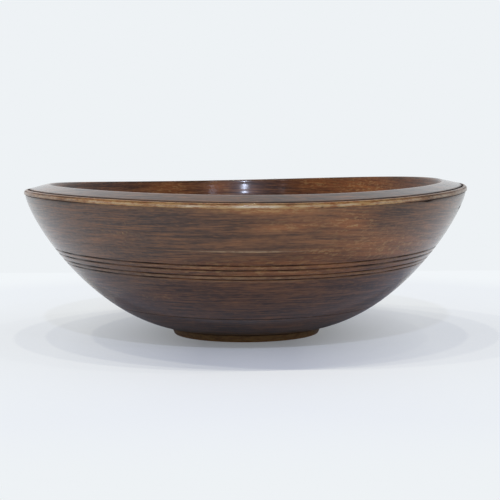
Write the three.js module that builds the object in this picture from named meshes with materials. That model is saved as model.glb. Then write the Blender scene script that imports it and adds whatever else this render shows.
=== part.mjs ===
import * as THREE from 'three';

// A dairy bowl: one piece of hardwood, turned across the grain and warped a little since.
// Millimetres, +Z up. The origin is the centre of the foot's underside, and the grain runs along X.
// Radii and heights are those of the round bowl as it left the lathe. The warp is added last.

// Rim: its top falls outwards from the lip, past a cut line, to a rounded band.
const RIM_RADIUS = 190;
const RIM_HEIGHT = 129.8;
const RIM_WIDTH = 21.2;
const RIM_FALL = 5.7;
const LIP_ROUNDING = 1.4;
const BAND_WIDTH = 3.9;
const BAND_DEPTH = 3.0;
const BAND_ROUNDING = 2.2;
const BAND_PROUD = 1.0;
const BAND_LINE_DEPTH = 0.7;
const BAND_LINE_WIDTH = 1.0;

// Outside wall: one sweep from the foot to the band, given by how far each end runs on
// in its own direction, in degrees above level, before it bends.
const WALL_LOW_REACH = 70;
const WALL_LOW_ANGLE = 10;
const WALL_HIGH_REACH = 24;
const WALL_HIGH_ANGLE = 80;

// Lines cut into the outside wall: two pairs in the middle, measured down from the lip's height,
// and a fine one low down, measured up from the foot's underside.
const LINE_WIDTH = 1.7;
const LINE_DEPTH = 1.0;
const UPPER_PAIR_DOWN = 54.2;
const UPPER_PAIR_GAP = 3.9;
const LOWER_PAIR_DOWN = 62.8;
const LOWER_PAIR_GAP = 3.2;
const LOW_LINE_UP = 27.2;
const LOW_LINE_WIDTH = 1.2;
const LOW_LINE_DEPTH = 0.5;

// Foot: a little wider at its top than where it stands, with a dished underside.
const FOOT_RADIUS = 63;
const FOOT_TOP_RADIUS = 65.4;
const FOOT_HEIGHT = 6.1;
const FOOT_ROUNDING = 0.8;
const FOOT_RING_WIDTH = 13;
const DISH_DEPTH = 3;

// Inside: one sweep from the lip to the floor's middle, where it ends level, given as the outside
// wall is. The wall comes to 20 to 23 mm thick.
const INSIDE_TOP_REACH = 60;
const INSIDE_TOP_ANGLE = 70;
const INSIDE_FLOOR_REACH = 104;
const FLOOR_THICKNESS = 15;

// Warp at the rim: narrower across the grain, raised at both ends of the grain and lowered
// at both sides, with a slight twist, and a slight lean up towards +X.
const NARROWER_ACROSS = 7.6;
const END_GRAIN_RISE = 2.85;
const TWIST_RISE = 1.38;
const LEAN_RISE = 1.3;

// Fineness of the facets.
const TURN_STEPS = 72;
const WALL_STEPS = 15;
const INSIDE_STEPS = 18;
const ROUNDING_STEPS = 4;
const DISH_STEPS = 3;

const point = (radius, height) => new THREE.Vector2(radius, height);

// The unit direction at an angle above level, outwards and up.
function direction(degrees) {
  const angle = THREE.MathUtils.degToRad(degrees);
  return point(Math.cos(angle), Math.sin(angle));
}

// The direction turned a quarter turn to the left: into the wood, for an outline walked
// from the foot up the outside.
function intoWood(along) {
  return point(-along.y, along.x);
}

// An arc of the given radius in place of the corner between two straight stretches.
function roundedCorner(before, corner, after, radius) {
  const back = before.clone().sub(corner).normalize();
  const on = after.clone().sub(corner).normalize();
  const halfAngle = Math.acos(back.dot(on)) / 2;
  const reach = radius / Math.tan(halfAngle);
  const start = corner.clone().addScaledVector(back, reach);
  const middle = back.clone().add(on).normalize();
  const centre = corner.clone().addScaledVector(middle, radius / Math.sin(halfAngle));
  const startAngle = start.clone().sub(centre).angle();
  const turned = Math.PI - 2 * halfAngle;
  const side = Math.sign(on.cross(back));
  return Array.from({ length: ROUNDING_STEPS + 1 }, (_, i) => {
    const angle = startAngle + side * turned * (i / ROUNDING_STEPS);
    return point(centre.x + radius * Math.cos(angle), centre.y + radius * Math.sin(angle));
  });
}

// The three points of a V-shaped line cut into a surface: its two edges and its bottom.
function cutLine(place, along, width, depth) {
  return [
    place.clone().addScaledVector(along, -width / 2),
    place.clone().addScaledVector(intoWood(along), depth),
    place.clone().addScaledVector(along, width / 2),
  ];
}

// How far along a rising curve it reaches a height, as a share of its length, by halving.
function shareAtHeight(curve, height) {
  const halvings = 40;
  let low = 0;
  let high = 1;
  for (let i = 0; i < halvings; i += 1) {
    const middle = (low + high) / 2;
    if (curve.getPointAt(middle).y < height) low = middle;
    else high = middle;
  }
  return (low + high) / 2;
}

// The outside wall's smooth sweep, from the foot's top to the line under the band.
function wallSweep() {
  const low = point(FOOT_TOP_RADIUS, FOOT_HEIGHT);
  const high = point(RIM_RADIUS - BAND_PROUD, RIM_HEIGHT - RIM_FALL - BAND_DEPTH - BAND_LINE_WIDTH);
  const lowHandle = low.clone().addScaledVector(direction(WALL_LOW_ANGLE), WALL_LOW_REACH);
  const highHandle = high.clone().addScaledVector(direction(WALL_HIGH_ANGLE), -WALL_HIGH_REACH);
  return new THREE.CubicBezierCurve(low, lowHandle, highHandle, high);
}

// The lines on the outside wall, from the lowest to the highest.
function wallLines() {
  const deep = { width: LINE_WIDTH, depth: LINE_DEPTH };
  const fine = { width: LOW_LINE_WIDTH, depth: LOW_LINE_DEPTH };
  return [
    { height: LOW_LINE_UP, ...fine },
    { height: RIM_HEIGHT - LOWER_PAIR_DOWN - LOWER_PAIR_GAP, ...deep },
    { height: RIM_HEIGHT - LOWER_PAIR_DOWN, ...deep },
    { height: RIM_HEIGHT - UPPER_PAIR_DOWN - UPPER_PAIR_GAP, ...deep },
    { height: RIM_HEIGHT - UPPER_PAIR_DOWN, ...deep },
  ];
}

// The outside wall with its lines cut in: even steps along the sweep, and each line's
// three points in place of the steps that it covers.
function outsideWall(sweep) {
  const length = sweep.getLength();
  const cuts = wallLines().map((line) => ({ ...line, share: shareAtHeight(sweep, line.height) }));
  const stops = cuts.map((cut) => {
    const place = sweep.getPointAt(cut.share);
    return { share: cut.share, points: cutLine(place, sweep.getTangentAt(cut.share), cut.width, cut.depth) };
  });
  for (let i = 0; i <= WALL_STEPS; i += 1) {
    const share = i / WALL_STEPS;
    const covered = cuts.some((cut) => Math.abs(share - cut.share) * length < cut.width);
    if (!covered) stops.push({ share, points: [sweep.getPointAt(share)] });
  }
  stops.sort((a, b) => a.share - b.share);
  return stops.flatMap((stop) => stop.points);
}

// The dished underside and the foot's ring, from the axis to the foot's edge.
function foot() {
  const ringInside = FOOT_RADIUS - FOOT_RING_WIDTH;
  const dish = Array.from({ length: DISH_STEPS + 1 }, (_, i) => {
    const share = i / DISH_STEPS;
    return point(ringInside * share, DISH_DEPTH * (1 - share * share));
  });
  const edge = roundedCorner(
    point(ringInside, 0),
    point(FOOT_RADIUS, 0),
    point(FOOT_TOP_RADIUS, FOOT_HEIGHT),
    FOOT_ROUNDING,
  );
  return [...dish, ...edge];
}

// The band, the cut line inside it and the rim's sloping top, from the line under the band to the lip.
function rim() {
  const lip = point(RIM_RADIUS - RIM_WIDTH, RIM_HEIGHT);
  const edge = point(RIM_RADIUS, RIM_HEIGHT - RIM_FALL);
  const inwards = lip.clone().sub(edge).normalize();
  const bandFoot = point(RIM_RADIUS, edge.y - BAND_DEPTH);
  const underBand = point(RIM_RADIUS - BAND_PROUD - BAND_LINE_DEPTH, bandFoot.y - BAND_LINE_WIDTH / 2);
  const line = edge.clone().addScaledVector(inwards, BAND_WIDTH / Math.abs(inwards.x));
  const belowLip = lip.clone().sub(direction(INSIDE_TOP_ANGLE));
  return [
    underBand,
    bandFoot,
    ...roundedCorner(bandFoot, edge, lip, BAND_ROUNDING),
    ...cutLine(line, inwards, LINE_WIDTH, LINE_DEPTH),
    ...roundedCorner(edge, lip, belowLip, LIP_ROUNDING),
  ];
}

// The hollow's one sweep, from below the lip down to the axis. It starts at the lip's corner,
// which the rounding has replaced, so its first point is left out.
function inside() {
  const lip = point(RIM_RADIUS - RIM_WIDTH, RIM_HEIGHT);
  const centre = point(0, DISH_DEPTH + FLOOR_THICKNESS);
  const lipHandle = lip.clone().addScaledVector(direction(INSIDE_TOP_ANGLE), -INSIDE_TOP_REACH);
  const centreHandle = point(INSIDE_FLOOR_REACH, centre.y);
  const sweep = new THREE.CubicBezierCurve(lip, lipHandle, centreHandle, centre);
  return sweep.getSpacedPoints(INSIDE_STEPS).slice(1);
}

// The warp: nothing moves up or down within the foot, and the rise grows with the square
// of the radius to its full size at the rim. Across the grain all of it is a little narrower.
function warp(geometry) {
  const position = geometry.attributes.position;
  const acrossShare = (2 * RIM_RADIUS - NARROWER_ACROSS) / (2 * RIM_RADIUS);
  const footSquare = FOOT_TOP_RADIUS ** 2;
  for (let i = 0; i < position.count; i += 1) {
    const x = position.getX(i);
    const y = position.getY(i);
    const angle = Math.atan2(y, x);
    const share = Math.max(0, (x * x + y * y - footSquare) / (RIM_RADIUS ** 2 - footSquare));
    const saddle = END_GRAIN_RISE * Math.cos(2 * angle);
    const twist = TWIST_RISE * Math.sin(2 * angle);
    const lean = LEAN_RISE * (x / RIM_RADIUS);
    position.setY(i, y * acrossShare);
    position.setZ(i, position.getZ(i) + share * (saddle + twist + lean));
  }
  geometry.computeVertexNormals();
}

function bowl() {
  const sweep = wallSweep();
  const outline = [...foot(), ...outsideWall(sweep), ...rim(), ...inside()];
  const geometry = new THREE.LatheGeometry(outline, TURN_STEPS);
  geometry.rotateX(Math.PI / 2);
  warp(geometry);
  const wood = new THREE.MeshStandardMaterial({ color: 0x4b2f1e, roughness: 0.42, metalness: 0 });
  const mesh = new THREE.Mesh(geometry, wood);
  mesh.name = 'bowl';
  return mesh;
}

const dairyBowl = new THREE.Group();
dairyBowl.add(bowl());

export default dairyBowl;
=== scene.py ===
"""A dairy bowl turned from one piece of sycamore, stained dark, waxed and worn, on a pale studio floor.

Every shape is a surface of two parameters: how far round the bowl, and how far along its section.
Sizes are in millimetres until a mesh is made, which is in metres. The grain runs along X.
"""

import math

import bpy
import numpy as np
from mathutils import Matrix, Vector


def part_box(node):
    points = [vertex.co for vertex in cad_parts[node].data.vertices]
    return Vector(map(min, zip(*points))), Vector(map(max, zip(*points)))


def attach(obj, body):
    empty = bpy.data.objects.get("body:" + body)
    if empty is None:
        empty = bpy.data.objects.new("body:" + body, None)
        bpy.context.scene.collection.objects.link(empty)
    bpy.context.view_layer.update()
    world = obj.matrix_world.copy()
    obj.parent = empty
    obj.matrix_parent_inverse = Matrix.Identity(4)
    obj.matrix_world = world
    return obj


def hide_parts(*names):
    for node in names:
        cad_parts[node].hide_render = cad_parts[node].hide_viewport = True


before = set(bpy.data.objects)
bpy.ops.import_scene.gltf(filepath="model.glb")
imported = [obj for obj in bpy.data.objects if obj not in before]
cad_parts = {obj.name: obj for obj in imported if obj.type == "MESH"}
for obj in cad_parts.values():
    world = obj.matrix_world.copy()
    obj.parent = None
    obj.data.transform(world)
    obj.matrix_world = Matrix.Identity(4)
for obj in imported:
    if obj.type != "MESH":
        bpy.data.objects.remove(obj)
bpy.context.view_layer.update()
METRE = 1000.0

# The round bowl as it left the lathe. The frame gives its radius and how much narrower it has dried.
_, bowl_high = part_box("bowl")
RIM_RADIUS = bowl_high.x * METRE
ACROSS_SHARE = bowl_high.y / bowl_high.x
RIM_HEIGHT = 129.8
RIM_WIDTH = 21.2
RIM_FALL = 5.7
LIP_ROUNDING = 1.4
BAND_WIDTH = 3.9
BAND_DEPTH = 3.0
BAND_ROUNDING = 2.2
BAND_PROUD = 1.0
BAND_LINE_DEPTH = 0.7
BAND_LINE_WIDTH = 1.0

# The outside wall's sweep: how far each end runs on in its own direction, in degrees above level.
WALL_LOW_REACH = 70.0
WALL_LOW_ANGLE = 10.0
WALL_HIGH_REACH = 24.0
WALL_HIGH_ANGLE = 80.0

# Cut lines: the pairs in the middle measured down from the lip, the others up from the foot.
LINE_WIDTH = 1.7
LINE_DEPTH = 1.0
UPPER_PAIR_DOWN = 54.2
UPPER_PAIR_GAP = 3.9
LOWER_PAIR_DOWN = 62.8
LOWER_PAIR_GAP = 3.2
LOW_LINE_UP = 27.2
LOW_LINE_WIDTH = 1.2
LOW_LINE_DEPTH = 0.5
HAIRLINE_UP = 87.5
HAIRLINE_WIDTH = 0.8
HAIRLINE_DEPTH = 0.12
RIM_FINE_LINE_OUT = 3.4
RIM_FINE_LINE_WIDTH = 0.9
RIM_FINE_LINE_DEPTH = 0.4

# Foot and underside.
FOOT_RADIUS = 63.0
FOOT_TOP_RADIUS = 65.4
FOOT_HEIGHT = 6.1
FOOT_ROUNDING = 0.8
FOOT_RING_WIDTH = 13.0
DISH_DEPTH = 3.0

# Inside: one sweep from the lip to the floor's middle, given as the outside wall's is.
INSIDE_TOP_REACH = 60.0
INSIDE_TOP_ANGLE = 70.0
INSIDE_FLOOR_REACH = 104.0
FLOOR_THICKNESS = 15.0
HOLLOW_FLOOR_BELOW = 55.0

# Warp at the rim.
END_GRAIN_RISE = 2.85
TWIST_RISE = 1.38
LEAN_RISE = 1.3

# Marks of the lathe and of use: tool ripples as length and depth, how much of them is left round the bowl,
# the band's unevenness, and how far the line under the band is filled where it is worn, which is within so
# many degrees of the front's turn.
WALL_RIPPLES = ((7.3, 0.022), (4.6, 0.010))
HOLLOW_RIPPLES = ((5.475, 0.032), (8.7, 0.022))
RIPPLES_LEFT = 0.8
RIPPLES_CHANGE = 0.2
BAND_WANDER = 0.16
BAND_LINE_FILL = 1.1
BAND_LINE_WORN_TO = 34.0
BAND_LINE_WHOLE_FROM = 48.0
FRONT = -90.0

# Small hollows: the turn in degrees, the height on the wall and the way on past it, half the width and half
# the height, the depth, and the share of dirt in it.
MARKS = {
    "nick": {"turn": -72.6, "up": 120.1, "past": 2.6, "wide": 1.3, "high": 0.8, "deep": 0.5, "dirt": 0.8},
    "bruise": {"turn": -41.2, "up": 119.4, "past": 1.0, "wide": 7.5, "high": 1.4, "deep": 0.4, "dirt": 0.6},
    "pit": {"turn": -14.6, "up": 107.8, "past": 0.0, "wide": 7.0, "high": 2.0, "deep": 0.3, "dirt": 1.0},
}

# What changes unevenly round the bowl: the seed, and the fewest and the most waves in a turn.
RIPPLE_WAVES = (3, 1, 5)
BAND_WAVES = (5, 9, 40)
BARED_AND_HIGHLIT_WAVES = (17, 12, 60)
DIRT_WAVES = (11, 6, 30)

# A cut line's V stands this high above its bottom, as a share of its depth, and its bottom is rounded by
# this much, in squares of its half width.
LINE_TOP = 1.06
LINE_ROUNDING = 0.012

# Zones along the section's outline: where each starts and where it ends, as a stretch or a cut line, the
# stretch's start (0) or end (1) and a shift in millimetres, and the distance over which it fades outside.
ZONES = {
    "wall_ripples": (("wall", 0, 8.0), ("wall", 1, -6.0), 4.0),
    "hollow_ripples": (("hollow_side", 0, 3.0), ("hollow_floor", 1, -30.0), 3.0),
    "uneven_band": (("band", 0, 0.6), ("band", 1, -0.6), 1.2),
    "hollow": (("lip", 1, 2.0), ("hollow_floor", 1, 0.0), 3.0),
    "band": (("band", 0, -0.2), ("band", 1, 0.3), 0.6),
    "below_band": (("wall", 1, -0.6), ("band", 0, 0.0), 3.0),
    "lip": (("lip", 0, -0.4), ("lip", 0, 1.2), 0.8),
    "foot_edge": (("foot_edge", 0, 0.0), ("foot_edge", 1, 0.4), 0.5),
    "foot": (("ring", 0, 0.0), ("foot_side", 1, 0.0), 0.3),
    "low_wall": (("wall", 0, 0.0), ("low_line", 0, 0.0), 2.0),
    "deep_wall": (("low_line", 0, 10.0), ("lower_pair_low", 0, -4.0), 8.0),
    "rim_top": (("rim", 0, 3.0), ("rim", 1, 0.0), 0.8),
}

# Fineness of the outline that the mesh is read from: millimetres on the straight, points on each curve, and
# the shortest step that isn't dropped.
OUTLINE_STEP = 0.05
CURVE_POINTS = 4000
ROUNDING_POINTS = 60
DISH_POINTS = 400
SHORTEST_STEP = 1e-6

# Fineness of the mesh, in columns round the bowl, and in millimetres between rows.
COLUMNS = 236
ROW_STEPS = {
    "underside": 5.0,
    "ring": 4.0,
    "foot_edge": 0.35,
    "foot_side": 1.3,
    "wall": 1.7,
    "band_line": 0.3,
    "band": 0.5,
    "rim": 1.8,
    "lip": 0.5,
    "hollow_side": 1.15,
    "hollow_floor": 2.1,
}

# Closer rows across a cut line, in halves of its width from its middle, the widths from it within which they
# take the place of the even rows, and the decimals to which two rows count as one.
LINE_ROWS = np.array([-1.35, -1.0, -0.75, -0.5, -0.25, 0.0, 0.25, 0.5, 0.75, 1.0, 1.35])
LINE_CLEAR = 0.95
ROW_DECIMALS = 4

# Closer columns across a small hollow: how many, how far they reach in its half widths, and how much farther
# the even columns are left out.
MARK_COLUMNS = 11
MARK_REACH = 2.0
MARK_CLEAR = 1.05

# The camera stands where the photograph was taken from. The angles are in radians, and the farthest that it
# sees is in metres.
CAMERA_AT = (3.53, -1135.7, 172.05)
CAMERA_PITCH = 0.0882
CAMERA_ROLL = 0.0053
CAMERA_LENS = 94.05
SENSOR = 36.0
CAMERA_SEES_TO = 50.0


def heading(degrees):
    """The unit direction at an angle above level, outwards and up."""
    angle = math.radians(degrees)
    return np.array((math.cos(angle), math.sin(angle)))


def straight(start, end):
    """Points along a straight stretch: start plus a share of the way to the end."""
    start = np.asarray(start, float)
    way = np.asarray(end, float) - start
    count = max(2, int(np.hypot(*way) / OUTLINE_STEP))
    return start + np.linspace(0, 1, count)[:, None] * way


def bend(*poles):
    """Points along a Bezier curve: neighbouring poles are mixed by the share until one is left."""
    share = np.linspace(0, 1, CURVE_POINTS)[:, None]
    points = [np.asarray(pole, float) + 0 * share for pole in poles]
    while len(points) > 1:
        points = [(1 - share) * a + share * b for a, b in zip(points, points[1:])]
    return points[0]


def rounded(before, corner, after, radius):
    """An arc in place of a corner: it touches both stretches, and its centre is on the line halving them."""
    corner = np.asarray(corner, float)
    back = (before - corner) / np.hypot(*(before - corner))
    on = (after - corner) / np.hypot(*(after - corner))
    half = math.acos(back @ on) / 2
    middle = (back + on) / np.hypot(*(back + on))
    centre = corner + middle * radius / math.sin(half)
    start = corner + back * radius / math.tan(half) - centre
    side = np.sign(on[0] * back[1] - on[1] * back[0])
    angle = side * (math.pi - 2 * half) * np.linspace(0, 1, ROUNDING_POINTS)[:, None]
    turned = np.array((-start[1], start[0]))
    return centre + np.cos(angle) * start + np.sin(angle) * turned


def wall_sweep():
    """The outside wall: a cubic Bezier curve from the foot's top to the line under the band."""
    low = np.array((FOOT_TOP_RADIUS, FOOT_HEIGHT))
    high = np.array((RIM_RADIUS - BAND_PROUD, RIM_HEIGHT - RIM_FALL - BAND_DEPTH - BAND_LINE_WIDTH))
    low_handle = low + WALL_LOW_REACH * heading(WALL_LOW_ANGLE)
    high_handle = high - WALL_HIGH_REACH * heading(WALL_HIGH_ANGLE)
    return bend(low, low_handle, high_handle, high)


def inside_sweep(lip, lip_rounding_end):
    """The hollow: a cubic Bezier curve from the lip's corner to the axis, where it ends level. It is kept
    from where the lip's rounding ends."""
    centre = np.array((0.0, DISH_DEPTH + FLOOR_THICKNESS))
    lip_handle = lip - INSIDE_TOP_REACH * heading(INSIDE_TOP_ANGLE)
    sweep = bend(lip, lip_handle, (INSIDE_FLOOR_REACH, centre[1]), centre)
    from_lip = np.hypot(*(sweep - lip).T)
    return sweep[from_lip > np.hypot(*(lip_rounding_end - lip))]


def outline_stretches():
    """The section's outline in walking order, from the axis underneath round to the axis inside."""
    ring_inside = FOOT_RADIUS - FOOT_RING_WIDTH
    out = np.linspace(0, ring_inside, DISH_POINTS)
    dish = np.stack((out, DISH_DEPTH * (1 - (out / ring_inside) ** 2)), axis=1)
    foot_low = np.array((FOOT_RADIUS, 0.0))
    foot_top = np.array((FOOT_TOP_RADIUS, FOOT_HEIGHT))
    foot_edge = rounded(dish[-1], foot_low, foot_top, FOOT_ROUNDING)
    wall = wall_sweep()
    lip = np.array((RIM_RADIUS - RIM_WIDTH, RIM_HEIGHT))
    edge = np.array((RIM_RADIUS, RIM_HEIGHT - RIM_FALL))
    band_foot = edge - (0.0, BAND_DEPTH)
    under_band = np.array((RIM_RADIUS - BAND_PROUD - BAND_LINE_DEPTH, band_foot[1] - BAND_LINE_WIDTH / 2))
    band_edge = rounded(band_foot, edge, lip, BAND_ROUNDING)
    lip_edge = rounded(edge, lip, lip - heading(INSIDE_TOP_ANGLE), LIP_ROUNDING)
    inside = inside_sweep(lip, lip_edge[-1])
    floor_from = int(np.searchsorted(-inside[:, 1], -HOLLOW_FLOOR_BELOW))
    return {
        "underside": dish,
        "ring": straight(dish[-1], foot_edge[0]),
        "foot_edge": foot_edge,
        "foot_side": straight(foot_edge[-1], foot_top),
        "wall": wall,
        "band_line": np.concatenate((straight(wall[-1], under_band), straight(under_band, band_foot))),
        "band": np.concatenate((straight(band_foot, band_edge[0]), band_edge)),
        "rim": straight(band_edge[-1], lip_edge[0]),
        "lip": lip_edge,
        "hollow_side": inside[:floor_from],
        "hollow_floor": inside[floor_from:],
    }


class Outline:
    """The outline as arrays over its length: radius, height and the direction into the wood. It also holds
    where each stretch starts and ends, and each cut line's place, width and depth."""

    def __init__(self):
        stretches = outline_stretches()
        points = np.concatenate(list(stretches.values()))
        steps = np.hypot(*np.diff(points, axis=0).T)
        keep = np.concatenate(([True], steps > SHORTEST_STEP))
        ends = np.cumsum([len(stretch) for stretch in stretches.values()])
        travelled = np.concatenate(([0.0], np.cumsum(steps)))
        self.ends = {}
        start = 0.0
        for name, end in zip(stretches, ends):
            self.ends[name] = (start, travelled[end - 1])
            start = travelled[end - 1]
        self.length = travelled[keep]
        self.radius, self.height = points[keep].T
        way = np.stack((np.gradient(self.radius, self.length), np.gradient(self.height, self.length)))
        way /= np.hypot(*way)
        self.inwards = np.stack((-way[1], way[0]))
        self.lines = self.cut_lines()

    def cut_lines(self):
        """Every cut line as its place along the outline, its width and its depth."""
        groove = self.rim_place(RIM_RADIUS - BAND_WIDTH)
        heights = {
            "upper_pair_high": (RIM_HEIGHT - UPPER_PAIR_DOWN, LINE_WIDTH, LINE_DEPTH),
            "upper_pair_low": (RIM_HEIGHT - UPPER_PAIR_DOWN - UPPER_PAIR_GAP, LINE_WIDTH, LINE_DEPTH),
            "lower_pair_high": (RIM_HEIGHT - LOWER_PAIR_DOWN, LINE_WIDTH, LINE_DEPTH),
            "lower_pair_low": (RIM_HEIGHT - LOWER_PAIR_DOWN - LOWER_PAIR_GAP, LINE_WIDTH, LINE_DEPTH),
            "low_line": (LOW_LINE_UP, LOW_LINE_WIDTH, LOW_LINE_DEPTH),
            "hairline": (HAIRLINE_UP, HAIRLINE_WIDTH, HAIRLINE_DEPTH),
        }
        lines = {name: (self.wall_place(height), width, depth)
                 for name, (height, width, depth) in heights.items()}
        lines["groove"] = (groove, LINE_WIDTH, LINE_DEPTH)
        lines["rim_fine_line"] = (groove - RIM_FINE_LINE_OUT, RIM_FINE_LINE_WIDTH, RIM_FINE_LINE_DEPTH)
        return lines

    def wall_place(self, height):
        """How far along the outline the outside wall reaches a height."""
        start, end = self.ends["wall"]
        on_wall = (self.length >= start) & (self.length <= end)
        return float(np.interp(height, self.height[on_wall], self.length[on_wall]))

    def rim_place(self, radius):
        """How far along the outline the rim's top reaches a radius."""
        start, end = self.ends["rim"]
        on_rim = (self.length >= start) & (self.length <= end)
        return float(np.interp(-radius, -self.radius[on_rim], self.length[on_rim]))

    def at(self, place):
        """Radius, height and the direction into the wood at places along the outline."""
        radius = np.interp(place, self.length, self.radius)
        height = np.interp(place, self.length, self.height)
        into_radius = np.interp(place, self.length, self.inwards[0])
        into_height = np.interp(place, self.length, self.inwards[1])
        return radius, height, into_radius, into_height

    def end(self, name, side):
        """How far along the outline a stretch starts (0) or ends (1), or where a cut line's middle is."""
        return self.lines[name][0] if name in self.lines else self.ends[name][side]

    def zone(self, name, place):
        """1 in a zone, and outside it a straight fall to 0 over the zone's own distance."""
        (first, first_side, first_shift), (last, last_side, last_shift), fade = ZONES[name]
        start = self.end(first, first_side) + first_shift
        end = self.end(last, last_side) + last_shift
        return np.clip((place - start) / fade + 1, 0, 1) * np.clip((end - place) / fade + 1, 0, 1)


def row_places(outline):
    """Where the mesh's rows lie: even steps in each stretch, and closer ones across each cut line."""
    even = []
    for name, (start, end) in outline.ends.items():
        count = max(1, round((end - start) / ROW_STEPS[name]))
        even.append(np.linspace(start, end, count, endpoint=False))
    even.append(np.array([outline.length[-1]]))
    rows = np.concatenate(even)
    for place, width, _ in outline.lines.values():
        rows = rows[np.abs(rows - place) > LINE_CLEAR * width]
    across = [place + LINE_ROWS * width / 2 for place, width, _ in outline.lines.values()]
    return np.unique(np.round(np.concatenate([rows, *across]), ROW_DECIMALS))


def column_turns():
    """Angles round the bowl: even ones, and closer ones across each small hollow."""
    even = np.linspace(-math.pi, math.pi, COLUMNS, endpoint=False)
    close = []
    for mark in MARKS.values():
        reach = MARK_REACH * mark["wide"] / RIM_RADIUS
        middle = math.radians(mark["turn"])
        even = even[np.abs(even - middle) > reach * MARK_CLEAR]
        close.append(middle + reach * np.linspace(-1, 1, MARK_COLUMNS))
    return np.sort(np.concatenate([even, *close]))


def bell(value, middle, half, power=2):
    """1 at the middle and less to both sides: the exponential of minus the way from the middle, over the half
    width, to a power."""
    return np.exp(-((value - middle) / half) ** power)


def wander(turn, seed, slowest, fastest):
    """A smooth uneven value round the bowl, about -1 to 1: a sum of sines, whose sizes and starts are drawn
    with a seed."""
    random = np.random.default_rng(seed)
    total = 0 * turn
    for waves in range(slowest, fastest + 1):
        total = total + random.normal() * np.sin(waves * turn + random.uniform(0, 2 * math.pi))
    return total / math.sqrt((fastest - slowest + 1) / 2) / 2


def hollow_mark(mark, outline, place, turn):
    """A small hollow, 1 in its middle: a bell over the way across it and the way along the section."""
    across = (turn - math.radians(mark["turn"])) * RIM_RADIUS / mark["wide"]
    along = (place - outline.wall_place(mark["up"]) - mark["past"]) / mark["high"]
    return np.exp(-across ** 2 - along ** 2)


def line_cuts(place, outline):
    """How deep each place is cut: for each line, its depth times a V with a slightly rounded bottom."""
    depth = 0 * place
    for middle, width, deep in outline.lines.values():
        away = np.abs(place - middle) / (width / 2)
        depth = depth + deep * np.clip(LINE_TOP - np.sqrt(away ** 2 + LINE_ROUNDING), 0, 1)
    return depth


def ripple(place, waves):
    """Tool marks: a sum of sines of the place along the outline, each with its length, depth and start."""
    return sum(deep * np.sin(2 * math.pi * place / length + length) for length, deep in waves)


def front_wear(turn):
    """1 where the line under the band is worn full, 0 where it is whole: eased by the turn from the front."""
    away = np.abs(np.degrees(turn) - FRONT)
    share = np.clip((BAND_LINE_WHOLE_FROM - away) / (BAND_LINE_WHOLE_FROM - BAND_LINE_WORN_TO), 0, 1)
    return share * share * (3 - 2 * share)


def bowl_surface():
    """The bowl's surface over turn and place: the round section, less its cuts and hollows along the
    direction into the wood, and with the line under the band filled where it is worn, then squeezed across
    the grain and raised by the warp times the square of the radius, from 0 at the foot to 1 at the rim."""
    outline = Outline()
    place, turn = np.meshgrid(row_places(outline), column_turns(), indexing="ij")
    radius, height, into_radius, into_height = outline.at(place)

    ripples_left = RIPPLES_LEFT + RIPPLES_CHANGE * wander(turn, *RIPPLE_WAVES)
    ripples = outline.zone("wall_ripples", place) * ripple(place, WALL_RIPPLES)
    ripples = ripples + outline.zone("hollow_ripples", place) * ripple(place, HOLLOW_RIPPLES)
    band_sunk = 0.5 + 0.5 * wander(turn, *BAND_WAVES)
    depth = line_cuts(place, outline) + ripples_left * ripples
    depth = depth + BAND_WANDER * outline.zone("uneven_band", place) * band_sunk
    marks = {name: hollow_mark(mark, outline, place, turn) for name, mark in MARKS.items()}
    for name, mark in MARKS.items():
        depth = depth + mark["deep"] * marks[name]

    line_start, line_end = outline.ends["band_line"]
    filled = np.interp(place, (line_start, (line_start + line_end) / 2, line_end), (0, 1, 0))
    radius = radius + depth * into_radius + BAND_LINE_FILL * filled * front_wear(turn)
    height = height + depth * into_height
    share = np.maximum(0, (radius ** 2 - FOOT_TOP_RADIUS ** 2) / (RIM_RADIUS ** 2 - FOOT_TOP_RADIUS ** 2))
    rise = END_GRAIN_RISE * np.cos(2 * turn) + TWIST_RISE * np.sin(2 * turn)
    rise = rise + LEAN_RISE * radius * np.cos(turn) / RIM_RADIUS
    points = np.stack((
        radius * np.cos(turn),
        radius * np.sin(turn) * ACROSS_SHARE,
        height + share * rise,
    ), axis=-1)
    return outline, place, turn, points, marks


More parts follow.
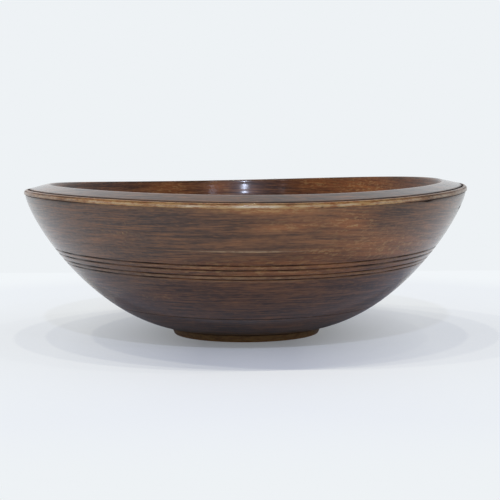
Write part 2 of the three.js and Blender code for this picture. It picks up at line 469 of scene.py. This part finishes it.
def closed_mesh(name, points, values):
    """A mesh over a grid that closes round on itself, with its first and its last row each drawn together to
    a pole. Faces run from a column to the next and then up a row, so that they point outwards. The values
    become the mesh's attributes, one at each point."""
    rows, columns = points.shape[:2]
    middle = points[1:-1].reshape(-1, 3)
    vertices = np.concatenate((points[:1, 0], middle, points[-1:, 0])) / METRE
    index = 1 + np.arange((rows - 2) * columns).reshape(rows - 2, columns)
    beside = np.roll(index, -1, axis=1)
    quads = np.stack((index[:-1], beside[:-1], beside[1:], index[1:]), axis=-1).reshape(-1, 4)
    first = np.stack((0 * index[0], beside[0], index[0]), axis=-1)
    last = np.stack((index[-1], beside[-1], 0 * index[-1] + len(vertices) - 1), axis=-1)
    corners = np.concatenate((quads.ravel(), first.ravel(), last.ravel()))
    sizes = np.concatenate((np.full(len(quads), 4), np.full(2 * columns, 3)))
    starts = np.concatenate(([0], np.cumsum(sizes)[:-1]))
    mesh = bpy.data.meshes.new(name)
    mesh.vertices.add(len(vertices))
    mesh.vertices.foreach_set("co", vertices.astype(np.float32).ravel())
    mesh.loops.add(len(corners))
    mesh.loops.foreach_set("vertex_index", corners.astype(np.int32))
    mesh.polygons.add(len(sizes))
    mesh.polygons.foreach_set("loop_start", starts.astype(np.int32))
    mesh.polygons.foreach_set("use_smooth", np.ones(len(sizes), bool))
    mesh.update(calc_edges=True)
    for key, value in values.items():
        flat = np.concatenate((value[:1, 0], value[1:-1].reshape((-1,) + value.shape[2:]), value[-1:, 0]))
        kind = "FLOAT" if flat.ndim == 1 else "FLOAT_VECTOR"
        attribute = mesh.attributes.new(key, kind, "POINT")
        attribute.data.foreach_set("value" if flat.ndim == 1 else "vector", flat.astype(np.float32).ravel())
    piece = bpy.data.objects.new(name, mesh)
    bpy.context.scene.collection.objects.link(piece)
    return piece


def linear(hex_colour, alpha=1.0):
    """An sRGB colour such as "8a5a34" as linear red, green and blue, by the sRGB curve: a straight line near
    black, and a power above it."""
    parts = [int(hex_colour[i:i + 2], 16) / 255 for i in (0, 2, 4)]
    curve = [part / 12.92 if part <= 0.04045 else ((part + 0.055) / 1.055) ** 2.4 for part in parts]
    return (*curve, alpha)


def add(tree, kind, inputs=None, **settings):
    """Adds a node, gives it its settings, and sets or links its inputs."""
    node = tree.nodes.new(kind)
    for key, value in settings.items():
        setattr(node, key, value)
    for key, value in (inputs or {}).items():
        if isinstance(value, bpy.types.NodeSocket):
            tree.links.new(value, node.inputs[key])
        else:
            node.inputs[key].default_value = value
    return node


def new_material(name):
    """An empty node material."""
    material = bpy.data.materials.new(name)
    material.use_nodes = True
    material.node_tree.nodes.clear()
    return material


# Colours of the wood, from its stain, its wear and its dirt, and colours that paint a grey sheen, highlights
# and shade into it.
STAIN_DARK = "2a170c"
STAIN_MIDDLE = "5b3a22"
STAIN_PALE = "8f5d35"
STAIN_RED = "6f3c23"
# A colour that darkens the wall low down.
DARKER_LOW = "3b2c25"
WORN_GOLD = "b08a55"
WORN_ORANGE = "96592a"
# Pale bare wood, also used for painted highlights on the band's edge and under the cut lines.
BARE_WOOD_AND_HIGHLIGHT = "e2d6b8"
# A grey painted as colour for the sheen of the mirrored pale room.
SHEEN_GREY = "504844"
# Dirt, also used for painted shade where the wall meets the foot.
DIRT_AND_SHADE = "140b07"

# The middle of the tree lay this far above the foot, so the growth layers rise a little towards the front
# and the back. They wave by this much, in so many cells a metre.
PITH_ABOVE = 1500.0
LAYER_WAVES = 7.0
LAYER_WAVE_CELLS = 7.0
LAYER_WAVE_OCTAVES = 1.0

# Patterns in the wood: what each follows, its cells a metre along each axis, its octaves and its roughness.
# The cells come from real sizes. Clouds of stain are 100 mm along the grain, 67 across it and 33 up, growth
# layers are 83 mm long and 5 thick, flecks of wear are 8 mm long and 2 high, tool rings are 1.4 mm apart,
# and scratches are 3 mm wide and 11 high. Real fibres and pores are under 0.1 mm wide, too fine to show, so
# fibres are drawn 45 mm long and 1.3 thick, threads 25 mm and 0.7, and pores 7 mm and 1.1.
PATTERNS = {
    "clouds": ("object", (10, 15, 30), 4.0, 0.65),
    "bands": ("layers", (12, 12, 200), 2.0, 0.6),
    "fibres": ("layers", (22, 22, 750), 4.0, 0.7),
    "threads": ("layers", (40, 40, 1400), 2.0, 0.6),
    "pores": ("object", (150, 300, 900), 1.0, 0.6),
    "flecks": ("object", (130, 300, 520), 3.0, 0.7),
    "rings": ("lathe", (2, 2, 700), 3.0, 0.7),
    "scratches": ("object", (330, 330, 90), 1.0, 0.5),
}

# What lies over the middle stain, in turn: the colour, the pattern that it follows, two values of the
# pattern, the share of the colour at each, and the value on the mesh that says where it is, if any.
LAYERS = (
    (STAIN_PALE, "clouds", 0.48, 0.7, 0.0, 0.75, None),
    (STAIN_DARK, "clouds", 0.52, 0.32, 0.0, 0.75, None),
    (STAIN_PALE, "bands", 0.5, 0.68, 0.0, 0.5, None),
    (STAIN_DARK, "bands", 0.5, 0.34, 0.0, 0.5, None),
    (STAIN_RED, "clouds", 0.35, 0.65, 0.2, 0.9, "hollow"),
    # Painted grey sheen on the low wall, the rim's top and the left side.
    (SHEEN_GREY, "clouds", 0.2, 0.8, 1.0, 0.5, "painted_sheen"),
    # Darker low on the wall, and dark patches in the hollow.
    (DARKER_LOW, "clouds", 0.2, 0.8, 0.95, 0.6, "darker_low_and_patches"),
    (STAIN_PALE, "fibres", 0.52, 0.7, 0.0, 0.6, None),
    (STAIN_DARK, "fibres", 0.5, 0.32, 0.0, 0.5, None),
    (STAIN_PALE, "threads", 0.52, 0.7, 0.0, 0.4, None),
    (STAIN_DARK, "threads", 0.5, 0.3, 0.0, 0.5, None),
    (STAIN_PALE, "pores", 0.52, 0.75, 0.0, 0.3, None),
    (STAIN_DARK, "pores", 0.5, 0.3, 0.0, 0.35, None),
    (STAIN_PALE, "rings", 0.53, 0.7, 0.0, 0.5, None),
    (STAIN_DARK, "rings", 0.48, 0.3, 0.0, 0.6, None),
    (WORN_ORANGE, "fibres", 0.35, 0.58, 0.3, 0.95, "golden"),
    (WORN_GOLD, "flecks", 0.5, 0.64, 0.0, 0.7, "golden"),
    (WORN_GOLD, "flecks", 0.3, 0.7, 0.3, 0.75, "footed"),
    # Wear, and painted highlights under the cut lines, on the ridge between the lower pair and on the
    # hairline.
    (WORN_ORANGE, "clouds", 0.3, 0.7, 0.5, 0.9, "worn_and_highlit"),
    (WORN_GOLD, "flecks", 0.35, 0.6, 0.0, 0.9, "worn_and_highlit"),
    # Bare wood on the band's edge, with painted highlights of the lamps there and under the cut lines.
    (BARE_WOOD_AND_HIGHLIGHT, "flecks", 0.3, 0.6, 0.5, 1.0, "bared_and_highlit"),
    (WORN_GOLD, "scratches", 0.62, 0.72, 0.0, 0.6, "scratched"),
    # Dirt, and painted shade where the wall meets the foot.
    (DIRT_AND_SHADE, "flecks", 0.3, 0.7, 1.0, 0.85, "dirt_and_shade"),
)

# How the surface shines: its roughness at a low and at a high value of the fibres, how softly that turns to
# the dirt's, the threads' share in the grain, how strongly and how many millimetres the grain stands up, and
# the shine of the wood and of the wax, whose indexes are those of varnished wood and of beeswax.
FIBRES_LOW = 0.3
FIBRES_HIGH = 0.7
ROUGHNESS_AT_LOW = 0.38
ROUGHNESS_AT_HIGH = 0.3
DIRT_BLEND = 0.15
THREADS_IN_GRAIN = 0.4
GRAIN_STRENGTH = 0.2
GRAIN_HEIGHT = 0.2
WOOD_IOR = 1.5
WOOD_SPECULAR = 0.2
WAX_IOR = 1.45
WAX_ROUGHNESS = 0.11


def stained_sycamore():
    """Stained turned sycamore, wax-polished: fine dark and pale streaks where the growth layers meet the
    surface, broad cloudy patches of thinner and thicker stain, paler wood where hands and cloths have worn
    the edges, and black dirt in the cut lines, all under a wax that shines where it is seen edge-on. A grey
    sheen, highlights on the band's edge and under the cut lines, and shade where the wall meets the foot are
    painted into the colour too."""
    material = new_material("stained_turned_sycamore")
    tree = material.node_tree
    place = add(tree, "ShaderNodeTexCoord").outputs["Object"]
    on_mesh = {name: add(tree, "ShaderNodeAttribute", attribute_name=name).outputs["Fac"]
               for name in ("worn_and_highlit", "dirt_and_shade", "hollow", "painted_sheen", "darker_low_and_patches", "footed", "golden", "bared_and_highlit",
                            "scratched", "waxed")}

    # Growth layers: the way out from the pith, slightly wavy, in place of the height
    waves = add(tree, "ShaderNodeTexNoise", {
        "Vector": place,
        "Scale": LAYER_WAVE_CELLS,
        "Detail": LAYER_WAVE_OCTAVES,
    }).outputs[0]
    from_pith = add(tree, "ShaderNodeMapping", {
        "Vector": place,
        "Location": (0, 0, -PITH_ABOVE / METRE),
        "Scale": (0, 1, 1),
    }).outputs[0]
    distance = add(tree, "ShaderNodeVectorMath", {0: from_pith}, operation="LENGTH").outputs["Value"]
    wavy = add(tree, "ShaderNodeMath", {
        0: waves,
        1: LAYER_WAVES / METRE,
        2: distance,
    }, operation="MULTIPLY_ADD").outputs[0]
    axes = add(tree, "ShaderNodeSeparateXYZ", {0: place}).outputs
    follows = {
        "object": place,
        "layers": add(tree, "ShaderNodeCombineXYZ", {0: axes[0], 1: axes[1], 2: wavy}).outputs[0],
        "lathe": add(tree, "ShaderNodeAttribute", attribute_name="lathe").outputs["Vector"],
    }

    # Each pattern is moved by its number, so that no two have their cells in the same places
    patterns = {}
    for index, (name, (followed, cells, octaves, rough)) in enumerate(PATTERNS.items()):
        mapped = add(tree, "ShaderNodeMapping", {
            "Vector": follows[followed],
            "Location": (index, index, index),
            "Scale": cells,
        }).outputs[0]
        patterns[name] = add(tree, "ShaderNodeTexNoise", {
            "Vector": mapped,
            "Scale": 1.0,
            "Detail": octaves,
            "Roughness": rough,
        }).outputs[0]

    colour = linear(STAIN_MIDDLE)
    for laid, pattern, low, high, share_low, share_high, where in LAYERS:
        share = add(tree, "ShaderNodeMapRange", {
            "Value": patterns[pattern],
            "From Min": low,
            "From Max": high,
            "To Min": share_low,
            "To Max": share_high,
        }, interpolation_type="SMOOTHSTEP").outputs[0]
        if where:
            there = on_mesh[where]
            share = add(tree, "ShaderNodeMath", {0: share, 1: there}, operation="MULTIPLY").outputs[0]
        mix = add(tree, "ShaderNodeMix", {0: share, 6: colour, 7: linear(laid)}, data_type="RGBA")
        colour = mix.outputs[2]

    roughness = add(tree, "ShaderNodeMapRange", {
        "Value": patterns["fibres"],
        "From Min": FIBRES_LOW,
        "From Max": FIBRES_HIGH,
        "To Min": ROUGHNESS_AT_LOW,
        "To Max": ROUGHNESS_AT_HIGH,
    }).outputs[0]
    roughness = add(tree, "ShaderNodeMath", {
        0: roughness,
        1: on_mesh["dirt_and_shade"],
        2: DIRT_BLEND,
    }, operation="SMOOTH_MAX").outputs[0]
    grain = add(tree, "ShaderNodeMath", {
        0: patterns["threads"],
        1: THREADS_IN_GRAIN,
        2: patterns["fibres"],
    }, operation="MULTIPLY_ADD").outputs[0]
    bump = add(tree, "ShaderNodeBump", {
        "Height": grain,
        "Strength": GRAIN_STRENGTH,
        "Distance": GRAIN_HEIGHT / METRE,
    }).outputs[0]
    shader = add(tree, "ShaderNodeBsdfPrincipled", {
        "Base Color": colour,
        "Roughness": roughness,
        "IOR": WOOD_IOR,
        "Specular IOR Level": WOOD_SPECULAR,
        "Coat Weight": on_mesh["waxed"],
        "Coat Roughness": WAX_ROUGHNESS,
        "Coat IOR": WAX_IOR,
        "Normal": bump,
    }).outputs[0]
    add(tree, "ShaderNodeOutputMaterial", {"Surface": shader})
    return material


# Patches, as centre and half size in millimetres along the grain and up, and strength: worn ones on the
# outside's front and on the hollow's far side, dark ones there, and scratched ones on the outside's front.
OUTSIDE_PATCHES = (
    (36, 105, 26, 4, 0.65),
    (80, 106, 18, 9, 0.9),
    (58, 83, 22, 5, 0.6),
    (108, 86, 42, 13, 0.65),
    (18, 117, 32, 4, 0.75),
    (5, 71, 70, 7, 0.6),
    (-62, 46, 10, 3, 0.4),
    (-95, 96, 16, 5, 0.3),
)
HOLLOW_PATCHES = (
    (-78, 120, 26, 12, 0.5),
    (-28, 122, 13, 8, 0.7),
    (112, 122, 26, 12, 0.85),
    (70, 125, 24, 6, 0.6),
)
HOLLOW_DARK = (
    (-140, 120, 30, 14, 0.9),
    (26, 118, 18, 12, 0.9),
    (162, 118, 18, 14, 0.5),
)
SCRATCHED = (
    (-93, 97, 5, 9, 1.0),
    (-76, 45, 12, 4, 0.5),
)

# The band's outer edge, rubbed through to bare wood, with painted highlights of the lamps at the places
# listed:
# the turn in degrees, half the reach and the strength of each rubbed and highlit place, how much the rest is
# rubbed and how unevenly, and where the strip lies, in millimetres back from the band's inner end.
BARED_AND_HIGHLIT = (
    (-87.5, 5.5, 1.0),
    (-102.3, 3.2, 0.8),
    (-126.0, 3.0, 0.5),
)
BARED_AND_HIGHLIT_USUALLY = 0.25
BARED_AND_HIGHLIT_CHANGE = 0.25
HIGHLIT_STRIP_BEFORE_GROOVE = 2.9
HIGHLIT_STRIP_HALF_WIDTH = 0.7

# Where round the bowl the wall under the band is worn most, where the edges of the cut lines and the hairline
# carry the most painted highlight, and how far that reaches, in degrees.
MOST_WORN_AT = -85.0
MOST_WORN_REACH = 9.0
EDGES_HIGHLIT_AT = -95.0
EDGES_HIGHLIT_REACH = 28.0
HAIRLINE_HIGHLIT_AT = -88.0
HAIRLINE_HIGHLIT_REACH = 13.0

# Shares of wear and of painted highlight. A cut line's painted highlight lies on its lower edge, so many of
# its half widths below its middle.
BAND_WORN = 0.27
BAND_WORN_AT_FRONT = 0.7
BELOW_BAND_WORN_AT_FRONT = 0.15
BELOW_BAND_MOST_WORN = 0.8
LIP_WORN = 0.2
FOOT_EDGE_WORN = 0.5
LINE_EDGE_HIGHLIGHT = 0.35
LINE_EDGE_HIGHLIT = 0.35
LINE_EDGE_BELOW = 1.9
LINE_EDGE_HALF = 0.6

# Shares of dirt: in the cut lines round the bowl, with the depth from which a line holds all of it, and in
# the rim's groove, which is full, and under the band, and of painted shade where the wall meets the foot's
# top, with half the width of each.
DIRT_USUALLY = 0.75
DIRT_CHANGE = 0.5
DIRT_LEAST = 0.3
DIRT_FULL_DEPTH = 0.5
GROOVE_DIRT_HALF = 0.9
UNDER_BAND_DIRT = 0.7
UNDER_BAND_HALF = 0.5
FOOT_TOP_SHADE = 0.8
FOOT_TOP_HALF = 0.8

# Shares of wax: on the outside, how much less is left in the hollow and on the band, and half the width of
# the dull strip by the groove.
WAX = 0.7
WAX_LESS_IN_HOLLOW = 0.57
WAX_LESS_ON_BAND = 0.35
GROOVE_DULL_HALF = 1.8

# Shares of a painted grey sheen low on the wall, on the rim's top and on the left, where it grows with the
# way from the middle, and of the darkening of the wall between the low line and the pairs.
LOW_WALL_SHEEN = 0.8
RIM_TOP_SHEEN = 0.9
LEFT_SHEEN = 0.9
LEFT_GROWTH = 1.4
DEEP_WALL_DARKER = 0.7


def patch_strength(patches, x, z):
    """The strongest of the patches at each point, each a bell over the way along the grain and up."""
    bells = [strength * np.exp(-((x - along) / half_along) ** 2 - ((z - up) / half_up) ** 2)
             for along, up, half_along, half_up, strength in patches]
    return np.maximum.reduce(bells)


def cut_line_values(outline, place, turn, degrees):
    """How dirty the cut lines leave each point, and how much painted highlight they put beside them: bells
    over the place along the outline, one in each line for dirt and one on its lower edge for the painted
    highlight, both uneven round the bowl."""
    dirt = 0 * place
    edges = 0 * place
    patchy = np.clip(DIRT_USUALLY + DIRT_CHANGE * wander(turn, *DIRT_WAVES), DIRT_LEAST, 1)
    for middle, width, depth in outline.lines.values():
        dirt = np.maximum(dirt, bell(place, middle, width / 2) * min(1.0, depth / DIRT_FULL_DEPTH) * patchy)
        below = (middle - place) / (width / 2)
        edges = np.maximum(edges, bell(below, LINE_EDGE_BELOW, LINE_EDGE_HALF) * min(1.0, depth) * patchy)

    # The ridge between the lower pair of lines carries a painted highlight, and so does the hairline at the
    # front
    lower_ridge = outline.wall_place(RIM_HEIGHT - LOWER_PAIR_DOWN - LOWER_PAIR_GAP / 2)
    on_ridge = bell(place, lower_ridge, LINE_WIDTH / 2) * patchy
    hairline = bell(place, outline.end("hairline", 0), HAIRLINE_WIDTH / 2)
    hairline_highlit = hairline * bell(degrees, HAIRLINE_HIGHLIT_AT, HAIRLINE_HIGHLIT_REACH)
    return dirt, np.maximum.reduce([edges * LINE_EDGE_HIGHLIGHT, on_ridge, hairline_highlit])


def bowl_values(outline, place, turn, points, marks):
    """What the material reads at each point: where it lies on the lathe, and how much it is worn, dirty,
    waxed and so on, from 0 to 1, each a sum or the largest of zones along the outline, bells along it and
    round the bowl, and patches over the wall. Some of these paint light and shade into the colour: a grey
    sheen, highlights on the band's edge and under the cut lines, and shade where the wall meets the foot."""
    x, y, z = np.moveaxis(points, -1, 0)
    degrees = np.degrees(turn)
    zone = {name: outline.zone(name, place) for name in ZONES}
    wear = front_wear(turn)
    front = 0.5 - 0.5 * np.sin(turn)
    outside = place < outline.end("band", 0)
    outside_front = outside * (y < 0)
    hollow_back = zone["hollow"] * (y > 0)

    # A strip of bare wood on the band's edge, with painted highlights of the lamps where they shine on it
    bared_and_highlit = BARED_AND_HIGHLIT_USUALLY + BARED_AND_HIGHLIT_CHANGE * wander(turn, *BARED_AND_HIGHLIT_WAVES)
    for middle, half, strength in BARED_AND_HIGHLIT:
        bared_and_highlit = np.maximum(bared_and_highlit, strength * bell(degrees, middle, half, power=4))
    bared_and_highlit = bared_and_highlit * bell(place, outline.end("band", 1) - HIGHLIT_STRIP_BEFORE_GROOVE, HIGHLIT_STRIP_HALF_WIDTH)
    line_dirt, line_edge_highlights = cut_line_values(outline, place, turn, degrees)
    # Painted highlights under the cut lines at the front, in the pale colour
    edges_highlit = LINE_EDGE_HIGHLIT * line_edge_highlights * front * bell(degrees, EDGES_HIGHLIT_AT, EDGES_HIGHLIT_REACH)

    groove = outline.end("groove", 0)
    under_band = bell(place, sum(outline.ends["band_line"]) / 2, UNDER_BAND_HALF) * (1 - wear)
    dirt = np.maximum.reduce([
        line_dirt,
        bell(place, groove, GROOVE_DIRT_HALF, power=4),
        under_band * UNDER_BAND_DIRT,
        # Painted shade where the wall meets the foot
        bell(place, outline.end("wall", 0), FOOT_TOP_HALF) * FOOT_TOP_SHADE,
        *(marks[name] * mark["dirt"] for name, mark in MARKS.items()),
    ])

    most_worn = bell(degrees, MOST_WORN_AT, MOST_WORN_REACH)
    worn_and_highlit = zone["band"] * (BAND_WORN + BAND_WORN_AT_FRONT * wear)
    worn_and_highlit = worn_and_highlit + zone["below_band"] * (BELOW_BAND_WORN_AT_FRONT * wear + BELOW_BAND_MOST_WORN * most_worn)
    # The cut lines' edges add painted highlights to the wear
    worn_and_highlit = worn_and_highlit + zone["lip"] * LIP_WORN * front + zone["foot_edge"] * FOOT_EDGE_WORN + line_edge_highlights * front

    wax = WAX - WAX_LESS_IN_HOLLOW * zone["hollow"] - WAX_LESS_ON_BAND * zone["band"]
    # Painted grey sheen: low on the wall, on the rim's top and towards the left.
    left = np.clip(-LEFT_GROWTH * x / RIM_RADIUS, 0, 1) * outside
    painted_sheen = [zone["low_wall"] * LOW_WALL_SHEEN, zone["rim_top"] * RIM_TOP_SHEEN, left * LEFT_SHEEN]
    dark = patch_strength(HOLLOW_DARK, x, z) * hollow_back
    golden = patch_strength(OUTSIDE_PATCHES, x, z) * outside_front
    return {
        "lathe": np.stack((np.cos(turn), np.sin(turn), place / METRE), axis=-1),
        "worn_and_highlit": np.clip(worn_and_highlit, 0, 1),
        "bared_and_highlit": np.maximum(bared_and_highlit, edges_highlit),
        "scratched": patch_strength(SCRATCHED, x, z) * outside_front,
        "dirt_and_shade": dirt,
        "waxed": wax * (1 - dirt) * (1 - bell(place, groove, GROOVE_DULL_HALF, power=4)),
        "hollow": zone["hollow"],
        "painted_sheen": np.maximum.reduce(painted_sheen),
        "darker_low_and_patches": np.maximum(zone["deep_wall"] * DEEP_WALL_DARKER, dark),
        "footed": zone["foot"],
        "golden": golden + patch_strength(HOLLOW_PATCHES, x, z) * hollow_back,
    }


# Studio: paper floor, pale surroundings and small lamps. Each lamp has its place along X and Y, its level as
# a share of white on a level surface, its width across and its colour. Where the room is mirrored it grows
# dimmer overhead and behind the camera, from one value of the direction's upward or forward part to another.
FLOOR_COLOUR = "f2f4f4"
BACKDROP_COLOUR = "eef2f5"
SKY_COLOUR = "e2e8ff"
SKY_STRENGTH = 0.5
ROOM_OVERHEAD = 0.1
OVERHEAD_FROM = 0.25
OVERHEAD_TO = 0.95
ROOM_BEHIND_CAMERA = 0.15
BEHIND_CAMERA_FROM = 0.1
BEHIND_CAMERA_TO = -0.7
FLOOR_GLOW_MIDDLE = 0.18
FLOOR_GLOW_SIDES = 0.56
FLOOR_GLOW_FROM = 35.0
FLOOR_GLOW_TO = 155.0
FLOOR_HALF = 9000.0
FLOOR_FADE_FROM = 260.0
FLOOR_FADE_TO = 520.0
PAPER_BRIGHT_COLOUR = "f2f6f9"
PAPER_BRIGHT_FROM = 150.0
PAPER_FOLD = 500.0
LAMP_HEIGHT = 4000.0
COOL_LAMP = "d8e3ff"
WARM_LAMP = "fffae6"
LAMPS = (
    ("front", 0, -4200, 0.15, 210, COOL_LAMP),
    ("front_left", -2000, -3600, 0.006, 420, COOL_LAMP),
    ("front_right", 1700, -3700, 0.02, 380, COOL_LAMP),
    ("overhead", 150, 60, 0.13, 110, WARM_LAMP),
    ("overhead_left", -700, 0, 0.13, 110, WARM_LAMP),
    ("far_left", -1960, -30, 0.11, 110, WARM_LAMP),
    ("far_right", 1240, 300, 0.038, 110, WARM_LAMP),
)


def pale_floor():
    """Matt white studio paper: it takes the bowl's shadows near by, and runs into the backdrop far away."""
    material = new_material("matt_white_paper")
    tree = material.node_tree
    coordinates = add(tree, "ShaderNodeTexCoord").outputs["Object"]
    distance = add(tree, "ShaderNodeVectorMath", {0: coordinates}, operation="LENGTH").outputs["Value"]
    far = add(tree, "ShaderNodeMapRange", {
        "Value": distance,
        "From Min": FLOOR_FADE_FROM / METRE,
        "From Max": FLOOR_FADE_TO / METRE,
    }, interpolation_type="SMOOTHSTEP").outputs[0]
    light_path = add(tree, "ShaderNodeLightPath").outputs
    by_camera = light_path["Is Camera Ray"]
    seen = add(tree, "ShaderNodeMath", {
        0: by_camera,
        1: light_path["Is Glossy Ray"],
    }, operation="MAXIMUM").outputs[0]
    far = add(tree, "ShaderNodeMath", {0: far, 1: seen}, operation="MULTIPLY").outputs[0]

    # Light from low down at both sides, which thins the shadows there, is for the camera alone
    axes = add(tree, "ShaderNodeSeparateXYZ", {0: coordinates}).outputs
    aside = add(tree, "ShaderNodeMath", {0: axes[0]}, operation="ABSOLUTE").outputs[0]
    glow = add(tree, "ShaderNodeMapRange", {
        "Value": aside,
        "From Min": FLOOR_GLOW_FROM / METRE,
        "From Max": FLOOR_GLOW_TO / METRE,
        "To Min": FLOOR_GLOW_MIDDLE,
        "To Max": FLOOR_GLOW_SIDES,
    }).outputs[0]
    glow = add(tree, "ShaderNodeMath", {0: glow, 1: by_camera}, operation="MULTIPLY").outputs[0]
    share = add(tree, "ShaderNodeMath", {0: far, 1: glow}, operation="MAXIMUM").outputs[0]

    # Behind the bowl the paper is a little brighter, as far as the fold where it turns up
    brighter = add(tree, "ShaderNodeMapRange", {
        "Value": axes[1],
        "From Min": 0.0,
        "From Max": PAPER_BRIGHT_FROM / METRE,
    }).outputs[0]
    before_fold = add(tree, "ShaderNodeMath", {
        0: axes[1],
        1: PAPER_FOLD / METRE,
    }, operation="LESS_THAN").outputs[0]
    brighter = add(tree, "ShaderNodeMath", {0: brighter, 1: before_fold}, operation="MULTIPLY").outputs[0]
    tint = add(tree, "ShaderNodeMix", {
        0: brighter,
        6: linear(BACKDROP_COLOUR),
        7: linear(PAPER_BRIGHT_COLOUR),
    }, data_type="RGBA").outputs[2]
    paper = add(tree, "ShaderNodeBsdfDiffuse", {"Color": linear(FLOOR_COLOUR)}).outputs[0]
    backdrop = add(tree, "ShaderNodeEmission", {"Color": tint}).outputs[0]
    mixed = add(tree, "ShaderNodeMixShader", {0: share, 1: paper, 2: backdrop}).outputs[0]
    add(tree, "ShaderNodeOutputMaterial", {"Surface": mixed})
    return material


def stage():
    """The floor: a flat sheet, far wider than the view."""
    half = FLOOR_HALF / METRE
    mesh = bpy.data.meshes.new("paper_floor")
    corners = [(-half, -half, 0), (half, -half, 0), (half, half, 0), (-half, half, 0)]
    mesh.from_pydata(corners, [], [(0, 1, 2, 3)])
    mesh.update()
    floor = bpy.data.objects.new("paper_floor", mesh)
    bpy.context.scene.collection.objects.link(floor)
    mesh.materials.append(pale_floor())


def surroundings():
    """A pale room: its own colour where it is seen, the same but dimmer overhead and behind the camera where
    it is mirrored, and soft bluish light elsewhere."""
    world = bpy.data.worlds.new("pale_room")
    world.use_nodes = True
    tree = world.node_tree
    tree.nodes.clear()
    light_path = add(tree, "ShaderNodeLightPath").outputs
    by_camera = light_path["Is Camera Ray"]
    seen = by_camera
    for ray in ("Is Glossy Ray", "Is Transmission Ray"):
        seen = add(tree, "ShaderNodeMath", {0: seen, 1: light_path[ray]}, operation="MAXIMUM").outputs[0]
    direction = add(tree, "ShaderNodeTexCoord").outputs["Generated"]
    split = add(tree, "ShaderNodeSeparateXYZ", {0: direction}).outputs
    overhead = add(tree, "ShaderNodeMapRange", {
        "Value": split[2],
        "From Min": OVERHEAD_FROM,
        "From Max": OVERHEAD_TO,
        "To Min": 1.0,
        "To Max": ROOM_OVERHEAD,
    }, interpolation_type="SMOOTHSTEP").outputs[0]
    behind_camera = add(tree, "ShaderNodeMapRange", {
        "Value": split[1],
        "From Min": BEHIND_CAMERA_FROM,
        "From Max": BEHIND_CAMERA_TO,
        "To Min": 1.0,
        "To Max": ROOM_BEHIND_CAMERA,
    }, interpolation_type="SMOOTHSTEP").outputs[0]
    mirrored = add(tree, "ShaderNodeMath", {0: overhead, 1: behind_camera}, operation="MULTIPLY").outputs[0]
    strength = add(tree, "ShaderNodeMath", {0: mirrored, 1: by_camera}, operation="MAXIMUM").outputs[0]
    soft = add(tree, "ShaderNodeBackground", {
        "Color": linear(SKY_COLOUR),
        "Strength": SKY_STRENGTH,
    }).outputs[0]
    room = add(tree, "ShaderNodeBackground", {
        "Color": linear(BACKDROP_COLOUR),
        "Strength": strength,
    }).outputs[0]
    mixed = add(tree, "ShaderNodeMixShader", {0: seen, 1: soft, 2: room}).outputs[0]
    add(tree, "ShaderNodeOutputWorld", {"Surface": mixed})
    bpy.context.scene.world = world


def lamps():
    """Small round lamps far off, each turned to the bowl. A lamp lights a surface that faces it by its power
    over (pi times the distance) squared, as a share of white, and a level surface by that times the lamp's
    height over its distance. The power is worked out from the level that is wanted."""
    for name, x, y, level, size, colour in LAMPS:
        place = np.array((x, y, LAMP_HEIGHT)) / METRE
        distance = float(np.hypot.reduce(place))
        slope = place[2] / distance
        light = bpy.data.lights.new(f"{name}_lamp", "AREA")
        light.shape = "DISK"
        light.size = size / METRE
        light.color = linear(colour)[:3]
        light.energy = level / slope * (math.pi * distance) ** 2
        lamp = bpy.data.objects.new(light.name, light)
        bpy.context.scene.collection.objects.link(lamp)
        lamp.location = place
        lamp.rotation_euler = Vector(place).to_track_quat("Z", "Y").to_euler()


def camera():
    """A long lens that looks along +Y, pitched a little down and rolled a hair: its three axes are level ones
    turned by the pitch and then by the roll."""
    data = bpy.data.cameras.new("front_camera")
    data.lens = CAMERA_LENS
    data.sensor_width = SENSOR
    data.clip_end = CAMERA_SEES_TO
    piece = bpy.data.objects.new("front_camera", data)
    bpy.context.scene.collection.objects.link(piece)
    pitch = (math.cos(CAMERA_PITCH), math.sin(CAMERA_PITCH))
    roll = (math.cos(CAMERA_ROLL), math.sin(CAMERA_ROLL))
    right = np.array((1.0, 0.0, 0.0))
    up = np.array((0.0, pitch[1], pitch[0]))
    back = np.array((0.0, -pitch[0], pitch[1]))
    turned_right = right * roll[0] - up * roll[1]
    turned_up = right * roll[1] + up * roll[0]
    matrix = np.eye(4)
    matrix[:3, 0] = turned_right
    matrix[:3, 1] = turned_up
    matrix[:3, 2] = back
    matrix[:3, 3] = np.array(CAMERA_AT) / METRE
    piece.matrix_world = matrix.T
    bpy.context.scene.camera = piece


def dressed_bowl():
    """The fine bowl, which stands for the frame's plain one."""
    outline, place, turn, points, marks = bowl_surface()
    piece = closed_mesh("turned_bowl", points, bowl_values(outline, place, turn, points, marks))
    piece.data.materials.append(stained_sycamore())
    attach(piece, "root")
    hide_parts("bowl")


stage()
surroundings()
lamps()
camera()
dressed_bowl()

bpy.context.scene.view_settings.view_transform = "Standard"
